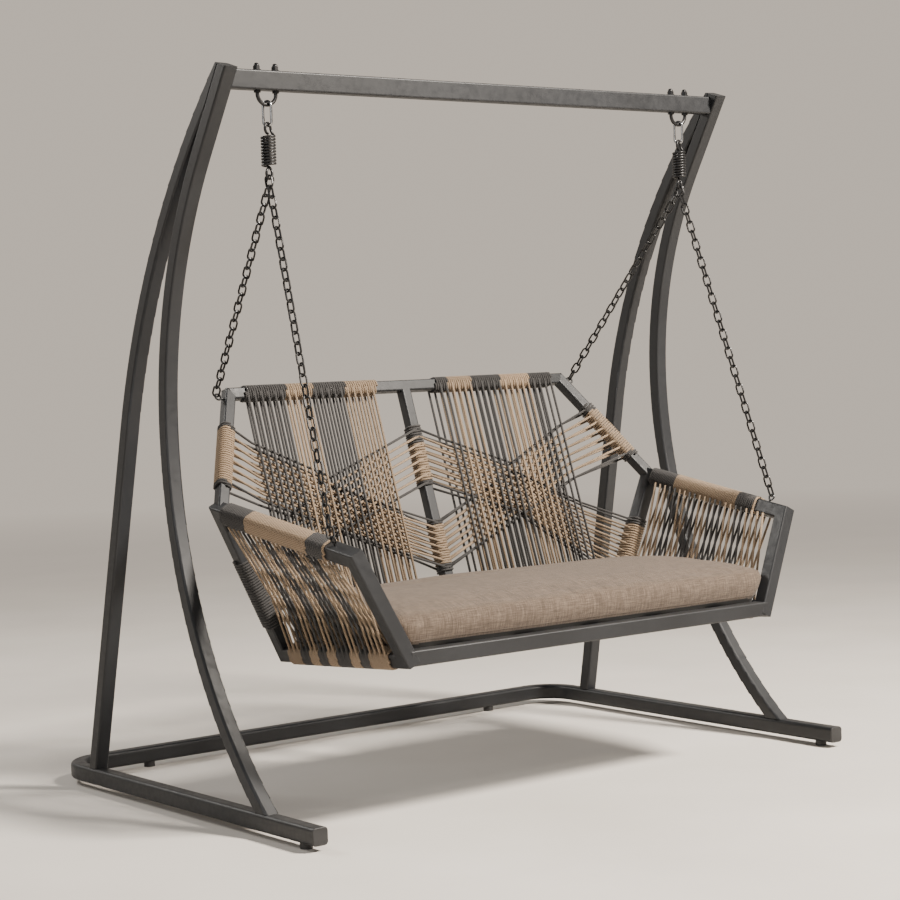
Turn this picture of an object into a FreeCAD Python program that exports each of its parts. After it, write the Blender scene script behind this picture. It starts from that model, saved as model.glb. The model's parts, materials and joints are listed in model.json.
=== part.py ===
import FreeCAD, Part
import math
import os

# Two-place garden swing: a leaning two-post stand with a U-shaped base, a top beam,
# sprung chains and a hanging bench woven with cord.
# Lengths are in millimetres, angles in degrees. +Z is up, the front faces -Y and +X is the
# right side seen from the front. The origin is on the floor under the middle of the swing.

# Stand
rail_half_width = 913.0
rail_front_y = -637.0
rear_tube_y = 632.8
base_tube = 45.0
base_wall = 2.0
base_corner = 10.0
base_bend_radius = 105.0
rear_tube_inset = 213.0
end_cap_length = 5.0
foot_height = 15.0
foot_diameter = 32.0
front_foot_y = -580.0
rear_foot_inset = 273.0
post_tube = 40.0
post_wall = 2.0
post_corner = 6.0
post_lean_share = 0.0268
front_apex_y = 20.0
front_apex_z = 1075.0
front_post_y = -434.3
front_upper_radius = 1192.0
front_top_angle = 31.5
rear_post_y = 424.0
rear_post_angle = 12.05
rear_bend_z = 1000.0
rear_bend_radius = 1850.0
rear_bend_sweep = 35.0
top_z = 1920.0
top_cut_angle = 16.8
post_cap = 4.0
beam_height = 50.0
beam_depth = 40.0
beam_wall = 2.0
beam_corner = 5.0
beam_setback = 35.5

# Hanging hardware
hang_inset = 186.0
hardware_turn = 25.0
u_rod = 10.0
u_half_width = 28.0
u_drop = 36.0
thread_clearance = 0.1
washer_diameter = 24.0
washer_thickness = 2.0
nut_width = 17.0
dome_nut_height = 18.0
dome_hex_height = 9.0
dome_diameter = 15.0
lock_nut_height = 6.0
hook_wire = 7.0
hook_length = 70.0
hook_width = 31.0
hook_clearance = 0.6
gate_rod = 6.4
gate_tongue = 3.0
gate_slot_clearance = 0.2
gate_nose_z = 15.0
gate_nose_gap = 0.5
gate_pin_z = -12.0
gate_pin = 2.4
gate_pin_clearance = 0.05
gate_heel_z = -9.0
gate_heel_gap = 1.8
spring_wire = 7.0
spring_diameter = 40.0
spring_turns = 10
spring_gap = 0.7
spring_loop_radius = 13.5
spring_loop_rise = 19.0
spring_loop_open = 90.0
spring_bend_turn = 50.0
spring_gap_samples = 6
chain_wire = 5.6
chain_pitch = 28.0
chain_width = 25.0
chain_clearance = 0.4
chain_top_clearance = 2.6
chain_side_gap = 5.0
eye_wire = 6.0
eye_radius = 9.0
eye_shank = 5.0
front_eye_setback = 71.0
rear_eye_drop = 25.0

# Seat frame, measured between the centre lines of its tubes
seat_tube = 40.0
back_tube = 32.0
seat_wall = 2.0
seat_corner = 5.0
seat_side_room = 139.0
seat_front_y = -633.0
seat_front_z = 435.0
seat_depth = 593.0
seat_fall = 43.0
front_leg_splay = 127.0
front_leg_rake = 30.0
front_leg_rise = 258.0
arm_splay = 18.0
arm_run = 578.0
arm_rise = 92.0
rear_leg_splay = 182.0
back_splay = 173.0
back_rake = 230.0
back_height = 696.0
slat_count = 5
slat_width = 60.0
slat_thickness = 4.0
slat_corner = 1.5
slat_reach_share = 0.78

# Cord work
cord = 7.0
panel_inner_x = 107.0
panel_edge_gap = 44.0
near_layer_share = 0.25
far_layer_share = 0.75
left_back_groups = (("dark", 6), ("beige", 4), ("dark", 5), ("beige", 5))
right_back_groups = (("dark", 4), ("beige", 5), ("dark", 5), ("beige", 4), ("dark", 2))
side_groups = (
    ("beige", 3),
    ("dark", 3),
    ("beige", 2),
    ("dark", 6),
    ("beige", 2),
    ("dark", 3),
    ("beige", 3),
)
side_panel_shares = (0.085, 0.915)
arm_wrap_shares = (("dark", 0.05, 0.21), ("beige", 0.21, 0.62), ("dark", 0.62, 0.82))
band_cords = 8
band_layer_offset = 6.0
upper_post_shares = (0.29, 0.81)
upper_centre_shares = (0.17, 0.42)
upper_mid_shares = (0.34, 0.58)
lower_leg_shares = (0.33, 0.80)
lower_centre_shares = (0.56, 0.77)
lower_mid_shares = (0.37, 0.58)

# Cushion
cushion_front_side_gap = 24.0
cushion_rear_side_gap = 24.0
cushion_front_lap = 12.0
cushion_low_setback = 24.0
cushion_rear_gap = 34.0
cushion_front_thickness = 96.0
cushion_rear_thickness = 140.0
cushion_crown = 14.0
cushion_bulge = 12.0
cushion_lift = 0.3
cushion_end_shares = (
    (1.0, 0.22, 0.74, 0.95),
    (0.99, 0.1, 0.87, 0.97),
    (0.97, 0.03, 0.95, 0.985),
    (0.93, 0.0, 0.98, 0.995),
    (0.5, 0.0, 0.995, 1.0),
    (0.0, 0.0, 1.0, 1.0),
)

overrun = 60.0
scarf_reach = 500.0
reach = 3000.0

V = FreeCAD.Vector
X_AXIS = V(1, 0, 0)
Y_AXIS = V(0, 1, 0)
Z_AXIS = V(0, 0, 1)


def unit(vector):
    result = V(vector)
    result.normalize()
    return result


def square_to(vector, direction):
    """Part of a vector that is square to a direction, at unit length."""
    return unit(vector - direction * vector.dot(direction))


def between(start, end, share):
    return start + (end - start) * share


def mirrored(point, side):
    return V(point.x * side, point.y, point.z)


def placed(shape, origin, x_axis, z_axis):
    """Move a shape modelled at the origin so that its X and Z run along two square axes."""
    y_axis = z_axis.cross(x_axis)
    matrix = FreeCAD.Matrix(
        x_axis.x, y_axis.x, z_axis.x, origin.x,
        x_axis.y, y_axis.y, z_axis.y, origin.y,
        x_axis.z, y_axis.z, z_axis.z, origin.z,
        0, 0, 0, 1,
    )
    result = shape.copy()
    result.Placement = FreeCAD.Placement(matrix).multiply(shape.Placement)
    return result


def rounded_section(width, height, corner):
    """Rectangular wire with round corners, centred on the origin in the XY plane."""
    w, h = width / 2, height / 2
    bend = corner * (1 - math.sqrt(0.5))
    corners = ((w, h, 1, 1), (-w, h, -1, 1), (-w, -h, -1, -1), (w, -h, 1, -1))
    edges = []
    last = None
    first = None
    for index, (x, y, sx, sy) in enumerate(corners):
        along_x = V(x - sx * corner, y, 0)
        along_y = V(x, y - sy * corner, 0)
        middle = V(x - sx * bend, y - sy * bend, 0)
        start, end = (along_y, along_x) if index % 2 == 0 else (along_x, along_y)
        if last is None:
            first = start
        else:
            edges.append(Part.LineSegment(last, start).toShape())
        edges.append(Part.Arc(start, middle, end).toShape())
        last = end
    edges.append(Part.LineSegment(last, first).toShape())
    return Part.Wire(edges)


def bar(start, end, across, size, corner, extend=0.0):
    """Solid square bar along a line, lengthened at both ends, with one face square to across."""
    direction = unit(end - start)
    length = (end - start).Length + 2 * extend
    section = Part.Face(rounded_section(size, size, corner))
    solid = section.extrude(V(0, 0, length))
    return placed(solid, start - direction * extend, square_to(across, direction), direction)


def beyond(point, normal):
    """Large block on the far side of a plane."""
    block = Part.makeBox(2 * reach, 2 * reach, 2 * reach, V(-reach, -reach, 0))
    direction = unit(normal)
    helper = X_AXIS if abs(direction.x) < abs(direction.z) else Z_AXIS
    return placed(block, point, square_to(helper, direction), direction)


def six_sided(diameter, centre, heading, towards):
    """Six-sided outline square to a heading, with one corner towards a direction."""
    x_axis = square_to(towards, heading)
    y_axis = heading.cross(x_axis)
    points = []
    for k in range(7):
        angle = math.radians(60 * k)
        points.append(centre + (x_axis * math.cos(angle) + y_axis * math.sin(angle)) * (diameter / 2))
    return Part.makePolygon(points)


def swept(edges, diameter):
    """Round rod along a chain of tangent edges."""
    path = Part.Wire(edges)
    first = path.Edges[0]
    start = first.valueAt(first.FirstParameter)
    heading = first.tangentAt(first.FirstParameter)
    ring = Part.Wire([Part.makeCircle(diameter / 2, start, heading)])
    return path.makePipeShell([ring], True, False)


def swept_six_sided(edges, diameter, towards):
    """Wire along a chain of tangent edges, with a six-sided section."""
    path = Part.Wire(edges)
    first = path.Edges[0]
    start = first.valueAt(first.FirstParameter)
    heading = first.tangentAt(first.FirstParameter)
    return path.makePipeShell([six_sided(diameter, start, heading, towards)], True, False)


def arc_edge(start, middle, end):
    return Part.Arc(start, middle, end).toShape()


def line_edge(start, end):
    return Part.LineSegment(start, end).toShape()


def biarc(start, start_heading, end, end_heading):
    """Two tangent arcs between two points with given unit headings."""
    chord = end - start
    both = start_heading + end_heading
    bend = 2 * (1 - start_heading.dot(end_heading))
    pull = chord.dot(both)
    handle = (-pull + math.sqrt(pull * pull + bend * chord.dot(chord))) / bend
    first_handle = start + start_heading * handle
    last_handle = end - end_heading * handle
    joint = (first_handle + last_handle) * 0.5
    edges = []
    for a, handle_point, b in ((start, first_handle, joint), (joint, last_handle, end)):
        middle = (a + b) * 0.5
        half = (a - middle).Length
        rise = (handle_point - middle).Length
        sagitta = half * math.tan(math.atan2(rise, half) / 2)
        edges.append(arc_edge(a, middle + (handle_point - middle) * (sagitta / rise), b))
    return edges


def largest(shape):
    return max(shape.Solids, key=lambda solid: solid.Volume)


def export(node, solids):
    shape = solids[0] if len(solids) == 1 else Part.makeCompound(solids)
    shape.exportStep("parts/" + node + ".step")


def side_name(side):
    return "right" if side > 0 else "left"


SIDES = (-1, 1)

# Places that follow from the sizes above
rear_tube_half = rail_half_width - rear_tube_inset
rear_foot_x = rail_half_width - rear_foot_inset
base_mid_z = foot_height + base_tube / 2
base_top_z = foot_height + base_tube
beam_bottom_z = top_z - beam_height
beam_mid_z = top_z - beam_height / 2
post_lean = math.atan(post_lean_share)
front_bow = front_apex_y - front_post_y
front_climb = front_apex_z - base_top_z
front_lower_radius = (front_bow ** 2 + front_climb ** 2) / (2 * front_bow)
top_bend = math.radians(front_top_angle)
front_bend_y = front_apex_y - front_upper_radius * (1 - math.cos(top_bend))
front_bend_z = front_apex_z + front_upper_radius * math.sin(top_bend)
beam_y = front_bend_y - (beam_mid_z - front_bend_z) * math.tan(top_bend) + beam_setback
hang_x = rail_half_width - hang_inset
pivot_z = beam_bottom_z - u_drop


# Base

def base_tube_solid(size, corner, side):
    """One side rail of the base with its rear bend, as a solid of the given section."""
    front = V(side * rail_half_width, rail_front_y, base_mid_z)
    bend_start = V(side * rail_half_width, rear_tube_y - base_bend_radius, base_mid_z)
    bend_end = V(side * (rail_half_width - base_bend_radius), rear_tube_y, base_mid_z)
    centre = V(bend_end.x, bend_start.y, base_mid_z)
    middle = centre + unit(V(side, 1, 0)) * base_bend_radius
    end = V(side * rear_tube_half, rear_tube_y, base_mid_z)
    path = Part.Wire([
        line_edge(front, bend_start),
        arc_edge(bend_start, middle, bend_end),
        line_edge(bend_end, end),
    ])
    section = placed(rounded_section(size, size, corner), front, X_AXIS, Y_AXIS)
    return path.makePipeShell([section], True, False)


def make_base():
    bore = base_tube - 2 * base_wall
    bore_corner = base_corner - base_wall
    caps = []
    feet = []
    for side in SIDES:
        rail = base_tube_solid(base_tube, base_corner, side)
        rail = rail.cut(base_tube_solid(bore, bore_corner, side))
        export("base_rail_" + side_name(side), [rail])
        face = V(side * rail_half_width, rail_front_y - end_cap_length, base_mid_z)
        cap = bar(face, face + Y_AXIS * end_cap_length, X_AXIS, base_tube, base_corner)
        rim = [edge for edge in cap.Edges if edge.BoundBox.YMax < face.y + end_cap_length / 2]
        caps.append(cap.makeFillet(end_cap_length / 2, rim))
        for x, y in ((rail_half_width, front_foot_y), (rear_foot_x, rear_tube_y)):
            feet.append(Part.makeCylinder(foot_diameter / 2, foot_height, V(side * x, y, 0)))
    start = V(-rear_tube_half, rear_tube_y, base_mid_z)
    end = V(rear_tube_half, rear_tube_y, base_mid_z)
    tube = bar(start, end, Z_AXIS, base_tube, base_corner)
    tube = tube.cut(bar(start, end, Z_AXIS, bore, bore_corner))
    export("base_rear_tube", [tube])
    export("base_end_caps", caps)
    export("foot_glides", feet)


# Posts, drawn in a plane through the rail's centre and then leaned inward

def point_yz(y, z):
    return V(-post_tube / 2, y, z)


def front_post_line(offset):
    """Edges of a line that follows the front post's front face, from below the rail upward."""
    lower = front_lower_radius + offset
    upper = front_upper_radius + offset
    lower_y = front_apex_y - front_lower_radius
    upper_y = front_apex_y - front_upper_radius
    foot_angle = math.asin((front_apex_z - foot_height) / front_lower_radius)

    def lower_point(angle):
        return point_yz(lower_y + lower * math.cos(angle), front_apex_z - lower * math.sin(angle))

    def upper_point(angle):
        return point_yz(upper_y + upper * math.cos(angle), front_apex_z + upper * math.sin(angle))

    bend = upper_point(top_bend)
    heading = V(0, -math.sin(top_bend), math.cos(top_bend))
    tip = bend + heading * ((top_z + overrun - bend.z) / heading.z)
    apex = lower_point(0)
    return [
        arc_edge(lower_point(foot_angle), lower_point(foot_angle / 2), apex),
        arc_edge(apex, upper_point(top_bend / 2), bend),
        line_edge(bend, tip),
    ]


def rear_post_line(offset):
    """Edges of a line that follows the rear post's front face, from below the rail upward."""
    lean = math.radians(rear_post_angle)
    end_angle = math.radians(rear_post_angle + rear_bend_sweep)
    bend_y = rear_post_y - (rear_bend_z - base_top_z) * math.tan(lean)
    inner = rear_bend_radius - post_tube / 2
    centre_y = bend_y - inner * math.cos(lean)
    centre_z = rear_bend_z - inner * math.sin(lean)
    radius = inner + offset

    def bend_point(angle):
        return point_yz(centre_y + radius * math.cos(angle), centre_z + radius * math.sin(angle))

    start = bend_point(lean)
    heading = V(0, -math.sin(lean), math.cos(lean))
    foot = start - heading * ((start.z - foot_height) / heading.z)
    return [
        line_edge(foot, start),
        arc_edge(start, bend_point((lean + end_angle) / 2), bend_point(end_angle)),
    ]


def ends(edges):
    wire = Part.Wire(edges)
    return wire.OrderedVertexes[0].Point, wire.OrderedVertexes[-1].Point


def strip(line, near, far, inset):
    """Flat strip between two offsets of a line, as a solid of the post's width less an inset."""
    front = line(near)
    back = line(far)
    front_foot, front_tip = ends(front)
    back_foot, back_tip = ends(back)
    edges = front + back + [line_edge(front_foot, back_foot), line_edge(front_tip, back_tip)]
    face = Part.Face(Part.Wire(Part.__sortEdges__(edges)))
    face.translate(V(inset, 0, 0))
    return face.extrude(V(post_tube - 2 * inset, 0, 0))


def long_edges(solid):
    """Edges that run up the post along its four corners."""
    return [edge for edge in solid.Edges if edge.Length > 2 * post_tube]


def post_solid(line, inset):
    """Post of square section with round corners, drawn in from its own faces by an inset."""
    solid = strip(line, inset, post_tube - inset, inset)
    return solid.makeFillet(post_corner - inset, long_edges(solid))


def leaned(shape, side):
    """Lean a post inward about the rail's centre line and set it on its side."""
    result = shape.copy()
    result.rotate(V(0, 0, 0), Y_AXIS, -side * math.degrees(post_lean))
    result.translate(V(side * rail_half_width, 0, 0))
    return result


def make_posts():
    cut_heading = math.radians(top_cut_angle)
    slope = V(0, -math.sin(cut_heading), math.cos(cut_heading))
    front_tip = ends(front_post_line(0))[1]
    top_point = V(0, front_tip.y + overrun * math.tan(top_bend), top_z)
    above_top = beyond(top_point, slope)
    above_cap = beyond(top_point - slope * post_cap, slope)
    front = post_solid(front_post_line, 0)
    in_front = strip(front_post_line, -scarf_reach, post_tube, -post_tube)
    rear = largest(post_solid(rear_post_line, 0).cut(in_front))
    front_bore = post_solid(front_post_line, post_wall)
    near_front = strip(front_post_line, -scarf_reach, post_tube + post_wall, -post_tube)
    rear_bore = largest(post_solid(rear_post_line, post_wall).cut(near_front))
    floor_side = beyond(V(0, 0, base_top_z), -Z_AXIS)
    caps = []
    for side in SIDES:
        for name, solid, bore in (("front", front, front_bore), ("rear", rear, rear_bore)):
            post = solid.cut(above_cap).cut(bore)
            export(name + "_post_" + side_name(side), [leaned(post, side).cut(floor_side)])
        cap = front.fuse(rear).common(above_cap).cut(above_top).removeSplitter()
        caps.append(leaned(cap, side))
    export("post_top_caps", caps)


def leg_places():
    return [V(side * hang_x + sign * u_half_width, beam_y, 0) for side in SIDES for sign in SIDES]


def make_beam():
    """Top beam between the leaning posts, drilled for the U-bolts."""
    start = V(-rail_half_width, beam_y, beam_mid_z)
    length = V(2 * rail_half_width, 0, 0)
    bore_size = (beam_height - 2 * beam_wall, beam_depth - 2 * beam_wall)
    outer = Part.Face(rounded_section(beam_height, beam_depth, beam_corner))
    inner = Part.Face(rounded_section(bore_size[0], bore_size[1], beam_corner - beam_wall))
    beam = placed(outer.cut(inner), start, Z_AXIS, X_AXIS).extrude(length)
    for side in SIDES:
        inner_face = V(side * (rail_half_width - post_tube / 2 / math.cos(post_lean)), 0, 0)
        beam = beam.cut(beyond(inner_face, V(side, 0, post_lean_share)))
    for place in leg_places():
        hole = Part.makeCylinder(u_rod / 2 + thread_clearance, beam_height + 2 * overrun,
                                 V(place.x, place.y, beam_bottom_z - overrun))
        beam = beam.cut(hole)
    export("top_beam", [beam])


# U-bolts through the beam

def hexagon(width, height):
    outline = six_sided(2 * width / math.sqrt(3), V(0, 0, 0), Z_AXIS, X_AXIS)
    return Part.Face(outline).extrude(V(0, 0, height))


def make_u_bolts():
    bend_z = pivot_z + u_half_width
    leg_top_z = top_z + washer_thickness + dome_hex_height
    for side in SIDES:
        x = side * hang_x
        edges = [
            line_edge(V(x - u_half_width, beam_y, leg_top_z), V(x - u_half_width, beam_y, bend_z)),
            arc_edge(V(x - u_half_width, beam_y, bend_z), V(x, beam_y, pivot_z),
                     V(x + u_half_width, beam_y, bend_z)),
            line_edge(V(x + u_half_width, beam_y, bend_z), V(x + u_half_width, beam_y, leg_top_z)),
        ]
        export("u_bolt_" + side_name(side), [swept(edges, u_rod)])
    bore_radius = u_rod / 2 + thread_clearance
    dome_lift = dome_nut_height - dome_diameter / 2
    dome = Part.makeCylinder(dome_diameter / 2, dome_lift)
    dome = dome.fuse(Part.makeSphere(dome_diameter / 2, V(0, 0, dome_lift)))
    dome_nut = hexagon(nut_width, dome_hex_height).fuse(dome).removeSplitter()
    dome_nut = dome_nut.cut(Part.makeCylinder(bore_radius, dome_hex_height + thread_clearance))
    lock_nut = hexagon(nut_width, lock_nut_height).cut(Part.makeCylinder(bore_radius, lock_nut_height))
    washer = Part.makeCylinder(washer_diameter / 2, washer_thickness)
    washer = washer.cut(Part.makeCylinder(bore_radius, washer_thickness))
    levels = (
        ("u_bolt_washers", washer, top_z),
        ("u_bolt_dome_nuts", dome_nut, top_z + washer_thickness),
        ("u_bolt_lock_nuts", lock_nut, beam_bottom_z - lock_nut_height),
    )
    for node, solid, z in levels:
        export(node, [placed(solid, place + Z_AXIS * z, X_AXIS, Z_AXIS) for place in leg_places()])


# Snap hooks, springs and chains. The hook lies in a plane turned from front-to-back,
# and the spring's end loops lie square to it.
turn = math.radians(hardware_turn)
hook_axis = V(math.sin(turn), -math.cos(turn), 0)
loop_axis = V(math.cos(turn), math.sin(turn), 0)
hook_half = (hook_width - hook_wire) / 2
hook_straight = (hook_length - hook_width) / 2
hook_top_z = pivot_z + u_rod / 2 + hook_wire / 2 + hook_clearance
hook_mid_z = hook_top_z + hook_wire / 2 - hook_length / 2
hook_bottom_z = hook_top_z + hook_wire - hook_length
spring_radius = (spring_diameter - spring_wire) / 2
spring_pitch = spring_wire + spring_gap
upper_loop_z = hook_bottom_z + hook_wire / 2 + spring_wire / 2 + hook_clearance - spring_loop_radius
coil_top_z = upper_loop_z - spring_loop_rise
coil_bottom_z = coil_top_z - spring_pitch * spring_turns
lower_loop_z = coil_bottom_z - spring_loop_rise
chain_top_z = lower_loop_z - spring_loop_radius


def hanger_origin(side):
    return V(side * hang_x, beam_y, 0)


def hook_point(side, across, z):
    return hanger_origin(side) + hook_axis * across + Z_AXIS * (hook_mid_z + z)


def make_hooks():
    slot = gate_tongue + 2 * gate_slot_clearance
    pins = []
    for side in SIDES:
        def p(across, z):
            return hook_point(side, across, z)

        nose_top = p(-hook_half, hook_straight)
        back_top = p(hook_half, hook_straight)
        back_foot = p(hook_half, -hook_straight)
        heel_foot = p(-hook_half, -hook_straight)
        edges = [
            line_edge(p(-hook_half, gate_nose_z), nose_top),
            arc_edge(nose_top, p(0, hook_straight + hook_half), back_top),
            line_edge(back_top, back_foot),
            arc_edge(back_foot, p(0, -hook_straight - hook_half), heel_foot),
            line_edge(heel_foot, p(-hook_half, gate_heel_z)),
        ]
        hook = swept(edges, hook_wire)
        pin_place = p(-hook_half, gate_pin_z)
        slot_depth = gate_heel_z - gate_pin_z
        gap = Part.makeBox(slot, 2 * hook_wire, 2 * slot_depth + overrun,
                           V(-slot / 2, -hook_wire, -2 * slot_depth))
        hook = hook.cut(placed(gap, pin_place, loop_axis, Z_AXIS))
        pin = Part.makeCylinder(gate_pin / 2, hook_wire, V(0, 0, -hook_wire / 2))
        pin = placed(pin, pin_place, Z_AXIS, loop_axis)
        hook = hook.cut(pin)
        pins.append(pin)
        foot_z = gate_heel_z + gate_heel_gap
        rod = Part.makeCylinder(gate_rod / 2, gate_nose_z - gate_nose_gap - foot_z, p(-hook_half, foot_z))
        tongue_radius = slot_depth - gate_slot_clearance
        knuckle = Part.makeCylinder(tongue_radius, gate_tongue, V(0, 0, -gate_tongue / 2))
        knuckle = placed(knuckle, pin_place, Z_AXIS, loop_axis)
        stem = Part.makeBox(gate_tongue, 2 * tongue_radius, foot_z - gate_pin_z + gate_heel_gap,
                            V(-gate_tongue / 2, -tongue_radius, 0))
        stem = placed(stem, pin_place, loop_axis, Z_AXIS)
        hole = Part.makeCylinder(gate_pin / 2 + gate_pin_clearance, hook_wire, V(0, 0, -hook_wire / 2))
        gate = rod.fuse([knuckle, stem]).cut(placed(hole, pin_place, Z_AXIS, loop_axis))
        export("snap_hook_" + side_name(side), [hook])
        export("hook_gate_" + side_name(side), [gate])
    export("gate_pins", pins)


def loop_stop(centre, angle, up):
    """Point and heading on an end loop; the angle runs from the side where the coil joins it."""
    a = math.radians(angle)
    place = centre + loop_axis * (spring_loop_radius * math.cos(a))
    place = place + Z_AXIS * (up * spring_loop_radius * math.sin(a))
    heading = loop_axis * -math.sin(a) + Z_AXIS * (up * math.cos(a))
    return place, heading


def coil_stop(centre, angle):
    """Point and heading on the coil, the angle counted downward from its top end."""
    a = math.radians(angle)
    radial = loop_axis * math.cos(a) + hook_axis * math.sin(a)
    tangent = loop_axis * -math.sin(a) + hook_axis * math.cos(a)
    drop = spring_pitch * angle / 360
    place = centre + radial * spring_radius + Z_AXIS * (coil_top_z - drop)
    heading = tangent * (2 * math.pi * spring_radius) - Z_AXIS * spring_pitch
    return place, unit(heading)


def make_springs():
    """Each spring is one wire: an end loop, a close coil and a second end loop."""
    steps = 4 * spring_turns
    loop_angles = [360 - spring_loop_open - k * (360 - spring_loop_open) / 4 for k in range(5)]
    for side in SIDES:
        origin = hanger_origin(side)
        stops = []
        for angle in loop_angles:
            place, heading = loop_stop(origin + Z_AXIS * upper_loop_z, angle, 1)
            stops.append((place, heading * -1))
        coil_angles = [k * 90 for k in range(steps + 1)]
        coil_angles[0] = spring_bend_turn
        coil_angles[-1] = 90 * steps - spring_bend_turn
        for angle in coil_angles:
            stops.append(coil_stop(origin, angle))
        for angle in reversed(loop_angles):
            stops.append(loop_stop(origin + Z_AXIS * lower_loop_z, angle, -1))
        edges = []
        for (start, start_heading), (end, end_heading) in zip(stops, stops[1:]):
            edges += biarc(start, start_heading, end, end_heading)
        spring = swept_six_sided(edges, spring_wire, loop_axis)
        print("spring", side_name(side), "valid", spring.isValid(), "least gap", round(least_gap(edges), 2))
        export("spring_" + side_name(side), [spring])


def least_gap(edges):
    """Least clear distance of the wire to itself, between points at least half a turn apart."""
    points = []
    for edge in edges:
        points += edge.discretize(spring_gap_samples + 1)[:-1]
    apart = 4 * spring_gap_samples
    gaps = []
    for i, a in enumerate(points):
        for b in points[i + apart:]:
            gaps.append((a - b).Length)
    return min(gaps) - spring_wire


def chain_link(length):
    """One link in the XZ plane, long along Z; the length is between the centres of its end bows."""
    half_width = (chain_width - chain_wire) / 2
    straight = length / 2 - half_width
    low_right, top_right = V(half_width, 0, -straight), V(half_width, 0, straight)
    low_left, top_left = V(-half_width, 0, -straight), V(-half_width, 0, straight)
    edges = [
        line_edge(low_right, top_right),
        arc_edge(top_right, V(0, 0, length / 2), top_left),
        line_edge(top_left, low_left),
        arc_edge(low_left, V(0, 0, -length / 2), low_right),
    ]
    return swept_six_sided(edges, chain_wire, X_AXIS)


def make_chain(node, top, bottom, bottom_normal):
    """Chain of alternating links from the spring's lower loop to an eye, twisted evenly to suit both."""
    heading = unit(bottom - top)
    distance = (bottom - top).Length
    hang = spring_wire / 2 + chain_wire / 2 + chain_top_clearance
    seat = eye_wire / 2 + chain_wire / 2 + chain_clearance
    run = distance + hang + seat
    count = round((run - chain_wire - chain_clearance) / chain_pitch)
    step = (run - chain_wire - chain_clearance) / count
    length = step + chain_wire + chain_clearance
    link = chain_link(length)
    first_normal = square_to(loop_axis, heading)
    sideways = heading.cross(first_normal)
    last_normal = square_to(bottom_normal, heading)
    end_angle = math.degrees(math.atan2(last_normal.dot(sideways), last_normal.dot(first_normal)))
    spare = (end_angle - 90 * (count - 1)) % 180
    spare = spare - 180 if spare > 90 else spare
    links = []
    for k in range(count):
        angle = math.radians(k * (90 + spare / (count - 1)))
        normal = first_normal * math.cos(angle) + sideways * math.sin(angle)
        centre = top + heading * (length / 2 - hang + k * step)
        links.append(placed(link, centre, heading.cross(normal), heading * -1))
    export(node, links)


# Seat frame. Each vertex is where the centre lines of two or three tubes meet on the right.
seat_half_width = rail_half_width - seat_side_room
front_corner = V(seat_half_width - arm_splay - front_leg_splay, seat_front_y, seat_front_z)
arm_front = front_corner + V(front_leg_splay, front_leg_rake, front_leg_rise)
arm_rear = arm_front + V(arm_splay, arm_run, arm_rise)
rear_corner = V(seat_half_width - rear_leg_splay, seat_front_y + seat_depth, seat_front_z - seat_fall)
back_corner = V(seat_half_width - back_splay, rear_corner.y + back_rake, rear_corner.z + back_height)
front_rail_mid = V(0, front_corner.y, front_corner.z)
rear_rail_mid = V(0, rear_corner.y, rear_corner.z)
top_rail_mid = V(0, back_corner.y, back_corner.z)
back_heading = unit(top_rail_mid - rear_rail_mid)
back_normal = X_AXIS.cross(back_heading)
side_normal = unit((arm_front - front_corner).cross(rear_corner - front_corner)) * -1
arm_heading = unit(arm_rear - arm_front)
arm_up = unit(side_normal.cross(arm_heading))
post_heading = unit(arm_rear - back_corner)
post_outward = square_to(back_normal, post_heading).cross(post_heading)


def flipped(shape, side):
    """A part modelled on the right, or its mirror image for the left."""
    if side > 0:
        return shape
    return shape.mirror(V(0, 0, 0), X_AXIS)


def mitred(start, end, across, size, before, after):
    """Bar between two vertices, cut at each end on the plane that halves the angle to the next one."""
    heading = unit(end - start)
    solid = bar(start, end, across, size, seat_corner, overrun)
    if before is not None:
        solid = solid.cut(beyond(start, (heading + before) * -1))
    if after is not None:
        solid = solid.cut(beyond(end, heading + after))
    return solid


def hollow(solid, start, end, across, size):
    bore = bar(start, end, across, size - 2 * seat_wall, seat_corner - seat_wall, overrun)
    return solid.cut(bore)


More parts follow.
